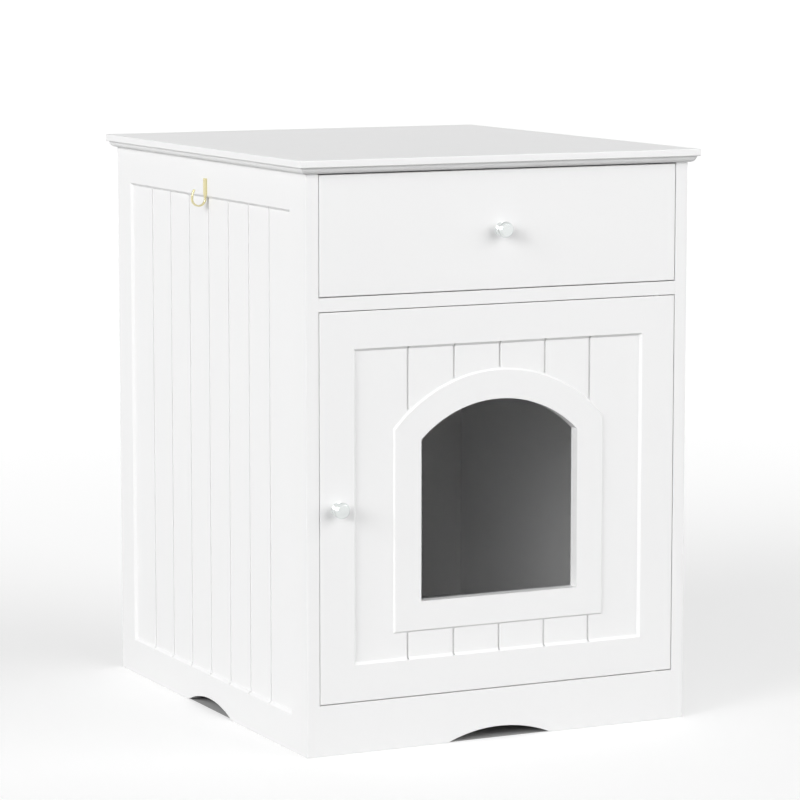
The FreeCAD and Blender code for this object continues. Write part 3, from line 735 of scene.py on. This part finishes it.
class Head(Enum):
    """Screw heads."""

    PAN = "pan"
    FLAT = "flat"


@dataclass
class Screws:
    """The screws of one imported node: a turned blank with a cross recess, copied to each place."""

    node: str
    body: Body
    axis: Axis
    head: Head
    head_radius: float
    head_height: float
    shank_radius: float
    segments: int = 40
    slot: str = "zinc_plated_steel"
    recess_reach: float = 0.95  # of the head's radius, as is the width
    recess_width: float = 0.24
    recess_depth: float = 1.3  # of the head's height
    recess_taper: float = 0.45

    def stations(self, length: float) -> list[Station]:
        """The blank's profile, from the top of its head.

        Args:
            length: Length over all.

        Returns:
            Stations, in metres.
        """
        shank = self.shank_radius
        if self.head is Head.PAN:
            shares = [(0.55, 0.0), (0.78, 0.06), (0.92, 0.22), (0.99, 0.48), (1.0, 0.75), (1.0, 1.0)]
        else:
            shares = [(0.97, 0.0), (1.0, 0.04), (1.0, 0.14)]
        top = [(across * self.head_radius, down * self.head_height) for across, down in shares]
        return top + [(shank, self.head_height), (shank, length - 2.5 * shank), (0.15 * shank, length)]

    def recess(self) -> Workpiece:
        """The tool that cuts the cross recess: two tapered blades."""
        reach, width = self.recess_reach * self.head_radius, self.recess_width * self.head_radius
        depth = self.recess_depth * self.head_height
        place = (0.0, 0.0, depth * 0.1)
        first = Workpiece.block("recess_one", place, (reach, width, depth))
        second = Workpiece.block("recess_two", place, (width, reach, depth))
        for part in (first, second):
            with part.edited():
                part.pick_faces(lambda centre, normal: normal.z > FACING)
                bpy.ops.transform.resize(value=(self.recess_taper, self.recess_taper, 1.0),
                                         center_override=(0.0, 0.0, 0.0))
        first.add(second)
        return first

    def build(self) -> None:
        """Turn one screw, cut its recess and copy it to each place."""
        boxes = solids_of(self.node)
        length = boxes[0].size[self.axis.value]
        blank = Workpiece.turned(self.node + "_blank", self.stations(length), self.segments)
        blank.cut(self.recess())
        copies = []
        for number, box in enumerate(boxes):
            sign = box.wide_end[self.axis.value]
            copies.append(blank.seated(f"{self.node}_turned_{number}", box.end(self.axis, sign),
                                       self.axis.vector(-sign)))
        blank.discard()
        copies[0].merge(copies[1:])
        copies[0].made.name = self.node + "_turned"
        copies[0].finished(self.body, self.slot, ZINC_PLATE, [self.node])


@dataclass
class CamLocks:
    """Cast cams, each with a cross slot in its open face."""

    node: str
    body: Body
    radius: float = 7.4 * MM
    proud: float = 0.12 * MM
    rim: float = 0.7 * MM
    slot_width: float = 1.5 * MM
    slot_depth: float = 4.4 * MM
    slot_share: float = 0.62  # of the cam's diameter
    cross_share: float = 0.36
    edge: float = 0.1 * MM
    segments: int = 48

    def master(self, depth: float) -> Workpiece:
        """Turn one cam and cut its slot.

        Args:
            depth: Depth of the bore that it fills.

        Returns:
            The cam, its open face at its own origin and its body along its own Z.
        """
        outer, top = self.radius, -self.proud
        stations = [(outer - 1.5 * self.rim, top + 0.25 * MM), (outer - 1.1 * self.rim, top),
                    (outer - 0.3 * self.rim, top), (outer, top + 0.3 * MM), (outer, depth - 0.4 * MM),
                    (outer - 0.4 * MM, depth)]
        cam = Workpiece.turned("cam_blank", stations, self.segments)
        place = (0.0, 0.0, 0.0)
        cross = Workpiece.block("cam_slot", place,
                                (self.slot_share * 2 * outer, self.slot_width, self.slot_depth))
        cross.add(Workpiece.block("cam_slot_across", place,
                                  (self.slot_width, self.cross_share * 2 * outer, self.slot_depth)))
        cam.cut(cross)
        cam.ease(self.edge, segments=1, angle=50.0)
        return cam

    def build(self) -> None:
        """Make one cam and copy it to each place."""
        boxes = solids_of(self.node)
        master = self.master(min(boxes[0].size))
        copies = []
        for number, box in enumerate(boxes):
            axis = Axis(min(range(3), key=lambda index: box.size[index]))
            inward = 1
            if axis is Axis.X and box.centre.x < 0:
                inward = -1
            copies.append(master.seated(f"{self.node}_cast_{number}", box.end(axis, -inward),
                                        axis.vector(inward)))
        master.discard()
        copies[0].merge(copies[1:])
        copies[0].made.name = self.node + "_cast"
        copies[0].finished(self.body, "cam_zinc", CAST_ZINC, [self.node])


@dataclass
class Balls:
    """The steel balls in one runner's cage."""

    node: str
    body: Body
    cuts: int = 4

    def build(self) -> None:
        """Round one ball from a block and copy it to each place."""
        boxes = solids_of(self.node)
        radius = boxes[0].size.z / 2
        ball = Workpiece.block("ball_blank", (0.0, 0.0, 0.0), (radius, radius, radius))
        with ball.edited():
            bpy.ops.mesh.select_all(action="SELECT")
            bpy.ops.mesh.subdivide(number_cuts=self.cuts)
            bpy.ops.transform.tosphere(value=1.0)
        reach = max(vert.co.length for vert in ball.made.data.vertices)
        with ball.edited():
            bpy.ops.mesh.select_all(action="SELECT")
            ratio = radius / reach
            bpy.ops.transform.resize(value=(ratio, ratio, ratio), center_override=(0.0, 0.0, 0.0))
        copies = [ball.seated(f"{self.node}_{number}", box.centre, Axis.Z.vector())
                  for number, box in enumerate(boxes)]
        ball.discard()
        copies[0].merge(copies[1:])
        copies[0].made.name = self.node + "_round"
        copies[0].finished(self.body, "bright_steel", BEARING_STEEL, [self.node], smooth=60.0)


@dataclass
class HingeBush:
    """Flanged nylon bush that a hinge pin turns in."""

    node: str
    flange_sign: int
    bore: float = 2.55 * MM
    body_radius: float = 3.6 * MM
    flange_radius: float = 5.0 * MM
    flange: float = 0.7 * MM
    edge: float = 0.15 * MM
    segments: int = 40

    def build(self) -> None:
        """Turn the bush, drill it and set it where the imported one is."""
        low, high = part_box(self.node)
        length = high.z - low.z
        stations = [(self.flange_radius - self.edge, 0.0), (self.flange_radius, self.edge),
                    (self.flange_radius, self.flange), (self.body_radius, self.flange),
                    (self.body_radius, length)]
        blank = Workpiece.turned(self.node + "_blank", stations, self.segments)
        blank.cut(Workpiece.turned("bush_drill", [(self.bore, -MM), (self.bore, length + MM)], self.segments))
        foot = Vector(((low.x + high.x) / 2, (low.y + high.y) / 2, high.z if self.flange_sign > 0 else low.z))
        bush = blank.seated(self.node + "_turned", foot, Axis.Z.vector(-self.flange_sign))
        blank.discard()
        bush.finished(Body.CABINET, "white_nylon", NYLON, [self.node])


# ---------------------------------------------------------------- studio


@dataclass
class FarLamp:
    """One large soft lamp, so far off that it lights everything alike.

    Its azimuth is counted in degrees from the front towards the right, and its strength is the light that a
    surface facing it gets.
    """

    name: str
    azimuth: float
    elevation: float
    strength: float
    spread: float

    def build(self) -> None:
        """Hang the lamp in its direction."""
        light = bpy.data.lights.new(self.name, "SUN")
        light.energy = self.strength * math.pi
        light.angle = math.radians(self.spread)
        lamp = bpy.data.objects.new(self.name, light)
        around, up = math.radians(self.azimuth), math.radians(self.elevation)
        lamp.location = (math.sin(around) * math.cos(up), -math.cos(around) * math.cos(up), math.sin(up))
        lamp.rotation_euler = lamp.location.to_track_quat("Z", "Y").to_euler()
        bpy.context.scene.collection.objects.link(lamp)


@dataclass
class Studio:
    """Plain pale floor, soft light and the camera.

    Attributes:
        room_light: Light of the world from the front and from the back.
        floor_tone: The floor's tone as the cabinet's light meets it.
        floor_seen: Its tone where it is seen.
        floor_lift: What is added where it is seen, near the cabinet and far off.
        lift_range: How far out the near and the far lift are.
        footprint: Half width and half depth under the cabinet, where nothing is added, which paints shade on
            the floor there.
    """

    camera_place: tuple[float, float, float] = (-1.7978, -3.7050, 0.89015)
    pitch: float = -7.5115
    yaw: float = 25.9986
    lens: float = 159.668
    sensor: float = 36.0
    room_light: tuple[float, float] = (0.05, 0.35)
    floor_tone: Colour = (0.35, 0.35, 0.35)
    floor_seen: Colour = (0.53, 0.53, 0.53)
    floor_lift: tuple[float, float] = (0.54, 0.68)
    lift_range: tuple[float, float] = (0.6, 3.0)
    footprint: tuple[float, float] = (0.232, 0.268)
    floor_size: float = 200.0
    floor_drop: float = 0.2 * MM
    far_clip: float = 1000.0
    lamps: list[FarLamp] = field(default_factory=lambda: [
        FarLamp("key_left", -70.0, 20.0, 0.631, 30.0),
        FarLamp("key_front", -40.0, 20.0, 0.234, 30.0),
        FarLamp("fill_left", -115.0, 20.0, 0.165, 60.0),
        FarLamp("fill_right", 45.0, 17.0, 0.790, 60.0),
    ])

    def camera(self) -> None:
        """Set the camera at the photograph's angle."""
        data = bpy.data.cameras.new("camera")
        data.lens = self.lens
        data.sensor_width = self.sensor
        data.clip_end = self.far_clip
        camera = bpy.data.objects.new("camera", data)
        camera.location = self.camera_place
        camera.rotation_euler = (math.radians(90.0 + self.pitch), 0.0, -math.radians(self.yaw))
        bpy.context.scene.collection.objects.link(camera)
        bpy.context.scene.camera = camera

    def seen(self, nodes: bpy.types.Nodes, links: bpy.types.NodeLinks) -> bpy.types.NodeSocket:
        """Wire a factor that is 1 for camera, glossy and transmission rays.

        Args:
            nodes: The tree's nodes.
            links: The tree's links.

        Returns:
            The factor.
        """
        path = nodes.new("ShaderNodeLightPath")
        total = path.outputs["Is Camera Ray"]
        for name in ("Is Glossy Ray", "Is Transmission Ray"):
            larger = nodes.new("ShaderNodeMath")
            larger.operation = "MAXIMUM"
            links.new(total, larger.inputs[0])
            links.new(path.outputs[name], larger.inputs[1])
            total = larger.outputs[0]
        return total

    def world(self) -> None:
        """Make the world white where it is seen, and elsewhere a soft light that grows towards the back."""
        world = bpy.data.worlds.new("studio")
        bpy.context.scene.world = world
        world.use_nodes = True
        nodes, links = world.node_tree.nodes, world.node_tree.links
        nodes.clear()
        output = nodes.new("ShaderNodeOutputWorld")
        background = nodes.new("ShaderNodeBackground")
        background.inputs["Color"].default_value = (1.0, 1.0, 1.0, 1.0)
        direction = nodes.new("ShaderNodeTexCoord")
        split = nodes.new("ShaderNodeSeparateXYZ")
        links.new(direction.outputs["Generated"], split.inputs["Vector"])
        light = nodes.new("ShaderNodeMapRange")
        light.inputs["To Min"].default_value, light.inputs["To Max"].default_value = self.room_light
        links.new(split.outputs["Y"], light.inputs["Value"])
        strength = nodes.new("ShaderNodeMix")
        strength.inputs[3].default_value = 1.0
        links.new(self.seen(nodes, links), strength.inputs[0])
        links.new(light.outputs["Result"], strength.inputs[2])
        links.new(strength.outputs[0], background.inputs["Strength"])
        links.new(background.outputs["Background"], output.inputs["Surface"])

    def floor_outside_painted_shade(self, tree: ShaderTree) -> bpy.types.NodeSocket:
        """Wire a factor that is 0 under the cabinet and 1 around it, so that the floor under the cabinet shows
        as painted shade.

        Args:
            tree: The floor's tree.

        Returns:
            The factor.
        """
        folded = tree.nodes.new("ShaderNodeVectorMath")
        folded.operation = "ABSOLUTE"
        tree.link(tree.coordinates.outputs["Object"], folded.inputs[0])
        split = tree.nodes.new("ShaderNodeSeparateXYZ")
        tree.link(folded.outputs["Vector"], split.inputs["Vector"])
        beyond = []
        for axis, half in zip("XY", self.footprint):
            step = tree.nodes.new("ShaderNodeMath")
            step.operation = "GREATER_THAN"
            step.inputs[1].default_value = half
            tree.link(split.outputs[axis], step.inputs[0])
            beyond.append(step)
        either = tree.nodes.new("ShaderNodeMath")
        either.operation = "MAXIMUM"
        for place, step in enumerate(beyond):
            tree.link(step.outputs[0], either.inputs[place])
        return either.outputs[0]

    def floor(self) -> None:
        """Lay the floor, lifted towards white where it is seen but not under the cabinet, where it shows
        painted shade.
        """
        bpy.ops.mesh.primitive_plane_add(size=self.floor_size, location=(0.0, 0.0, -self.floor_drop))
        floor = bpy.context.object
        floor.name = "floor"
        tree = ShaderTree("floor_white")
        seen = self.seen(tree.nodes, tree.material.node_tree.links)
        diffuse = tree.nodes.new("ShaderNodeBsdfDiffuse")
        tree.link(tree.blend(seen, self.floor_tone, self.floor_seen), diffuse.inputs["Color"])
        distance = tree.nodes.new("ShaderNodeVectorMath")
        distance.operation = "LENGTH"
        tree.link(tree.coordinates.outputs["Object"], distance.inputs[0])
        lift = tree.nodes.new("ShaderNodeMapRange")
        lift.inputs["From Min"].default_value, lift.inputs["From Max"].default_value = self.lift_range
        lift.inputs["To Min"].default_value, lift.inputs["To Max"].default_value = self.floor_lift
        tree.link(distance.outputs["Value"], lift.inputs["Value"])
        strength = tree.nodes.new("ShaderNodeMath")
        strength.operation = "MULTIPLY"
        tree.link(lift.outputs["Result"], strength.inputs[0])
        # the lift is left out under the cabinet, which paints shade on the floor there
        tree.link(self.floor_outside_painted_shade(tree), strength.inputs[1])
        shown = tree.nodes.new("ShaderNodeMath")
        shown.operation = "MULTIPLY"
        tree.link(strength.outputs[0], shown.inputs[0])
        tree.link(seen, shown.inputs[1])
        glow = tree.nodes.new("ShaderNodeEmission")
        tree.link(shown.outputs[0], glow.inputs["Strength"])
        both = tree.nodes.new("ShaderNodeAddShader")
        tree.link(diffuse.outputs["BSDF"], both.inputs[0])
        tree.link(glow.outputs["Emission"], both.inputs[1])
        tree.link(both.outputs["Shader"], tree.output.inputs["Surface"])
        floor.data.materials.append(tree.material)

    def build(self) -> None:
        """Set up the whole studio."""
        bpy.context.scene.view_settings.view_transform = "Standard"
        self.camera()
        self.world()
        self.floor()
        for lamp in self.lamps:
            lamp.build()


# ---------------------------------------------------------------- the cabinet


@dataclass
class Cabinet:
    """Everything that stands still."""

    boards: ClassVar[tuple[str, ...]] = (
        "top_board", "side_panel_left", "side_panel_right", "drawer_shelf", "bottom_board", "toe_rail_front",
        "toe_rail_back")

    def build(self) -> None:
        """Build the carcass and its fittings."""
        Boards(Body.CABINET, self.boards, "painted_board", PAINT).build()
        Boards(Body.CABINET, ("back_panel",), "back_board", BACK_FACING, arris=0.2 * MM).build()
        Boards(Body.CABINET, ("catch_housing",), "white_nylon", NYLON, arris=0.3 * MM).build()
        FoldedSteel(Body.CABINET, ("runner_outer_left", "runner_outer_right", "catch_poles")).build()
        KeptNodes(("dowels",), BEECH).build()
        KeptNodes(("cam_bolts",), ZINC_PLATE).build()
        KeptNodes(("catch_magnet",), FERRITE).build()
        CamLocks("cam_locks", Body.CABINET).build()
        HingeBush("hinge_bush_bottom", 1).build()
        HingeBush("hinge_bush_top", -1).build()
        Screws("runner_outer_screws", Body.CABINET, Axis.X, Head.FLAT, 3.5 * MM, 1.8 * MM, 1.7 * MM).build()
        Screws("catch_screws", Body.CABINET, Axis.Z, Head.PAN, 2.8 * MM, 1.7 * MM, 1.4 * MM).build()
        Screws("hook_screws", Body.CABINET, Axis.X, Head.PAN, 2.8 * MM, 1.9 * MM, 1.4 * MM).build()
        ScoopHook().build()


@dataclass
class Door:
    """Everything that swings with the door."""

    def build(self) -> None:
        """Build the door and its fittings."""
        Boards(Body.DOOR, ("door_panel",), "painted_board", PAINT).build()
        FoldedSteel(Body.DOOR, ("hinge_leaf_bottom", "hinge_leaf_top", "strike_plate"), bend=0.2 * MM).build()
        Screws("hinge_screws", Body.DOOR, Axis.Z, Head.FLAT, 3.2 * MM, 1.7 * MM, 1.5 * MM).build()
        Screws("strike_screw", Body.DOOR, Axis.Y, Head.FLAT, 2.9 * MM, 1.6 * MM, 1.3 * MM).build()
        Screws("door_knob_screw", Body.DOOR, Axis.Y, Head.PAN, 4.0 * MM, 2.4 * MM, 2.0 * MM).build()
        Knob("door_knob", Body.DOOR).build()


@dataclass
class Drawer:
    """Everything that slides with the drawer."""

    box: ClassVar[tuple[str, ...]] = ("drawer_side_left", "drawer_side_right", "drawer_back", "drawer_base")

    def build(self) -> None:
        """Build the drawer and its fittings."""
        Boards(Body.DRAWER, ("drawer_front",), "painted_board", PAINT).build()
        Boards(Body.DRAWER, self.box, "drawer_board", DRAWER_PAINT, arris=0.3 * MM).build()
        FoldedSteel(Body.DRAWER, ("runner_inner_left", "runner_inner_right")).build()
        KeptNodes(("drawer_dowels",), BEECH).build()
        KeptNodes(("drawer_cam_bolts",), ZINC_PLATE).build()
        CamLocks("drawer_cam_locks", Body.DRAWER).build()
        Screws("runner_inner_screws", Body.DRAWER, Axis.X, Head.PAN, 3.6 * MM, 1.9 * MM, 1.6 * MM).build()
        Screws("drawer_screws", Body.DRAWER, Axis.X, Head.FLAT, 3.4 * MM, 2.0 * MM, 1.6 * MM).build()
        Screws("drawer_knob_screw", Body.DRAWER, Axis.Y, Head.PAN, 4.0 * MM, 2.4 * MM, 2.0 * MM).build()
        Knob("drawer_knob", Body.DRAWER).build()


@dataclass
class BallCages:
    """The cages that travel between the runners' channels, with their balls."""

    def build(self) -> None:
        """Build both cages."""
        for body, side in ((Body.CAGE_LEFT, "left"), (Body.CAGE_RIGHT, "right")):
            KeptNodes((f"ball_cage_{side}",), ZINC_PLATE).build()
            Balls(f"balls_{side}", body).build()


def main() -> None:
    """Build the studio and the cabinet's sub-assemblies in order."""
    logging.basicConfig(level=logging.INFO, format="%(message)s")
    for assembly in (Studio(), Cabinet(), Door(), Drawer(), BallCages()):
        log.info("building %s", type(assembly).__name__)
        assembly.build()


if __name__ == "__main__":
    main()
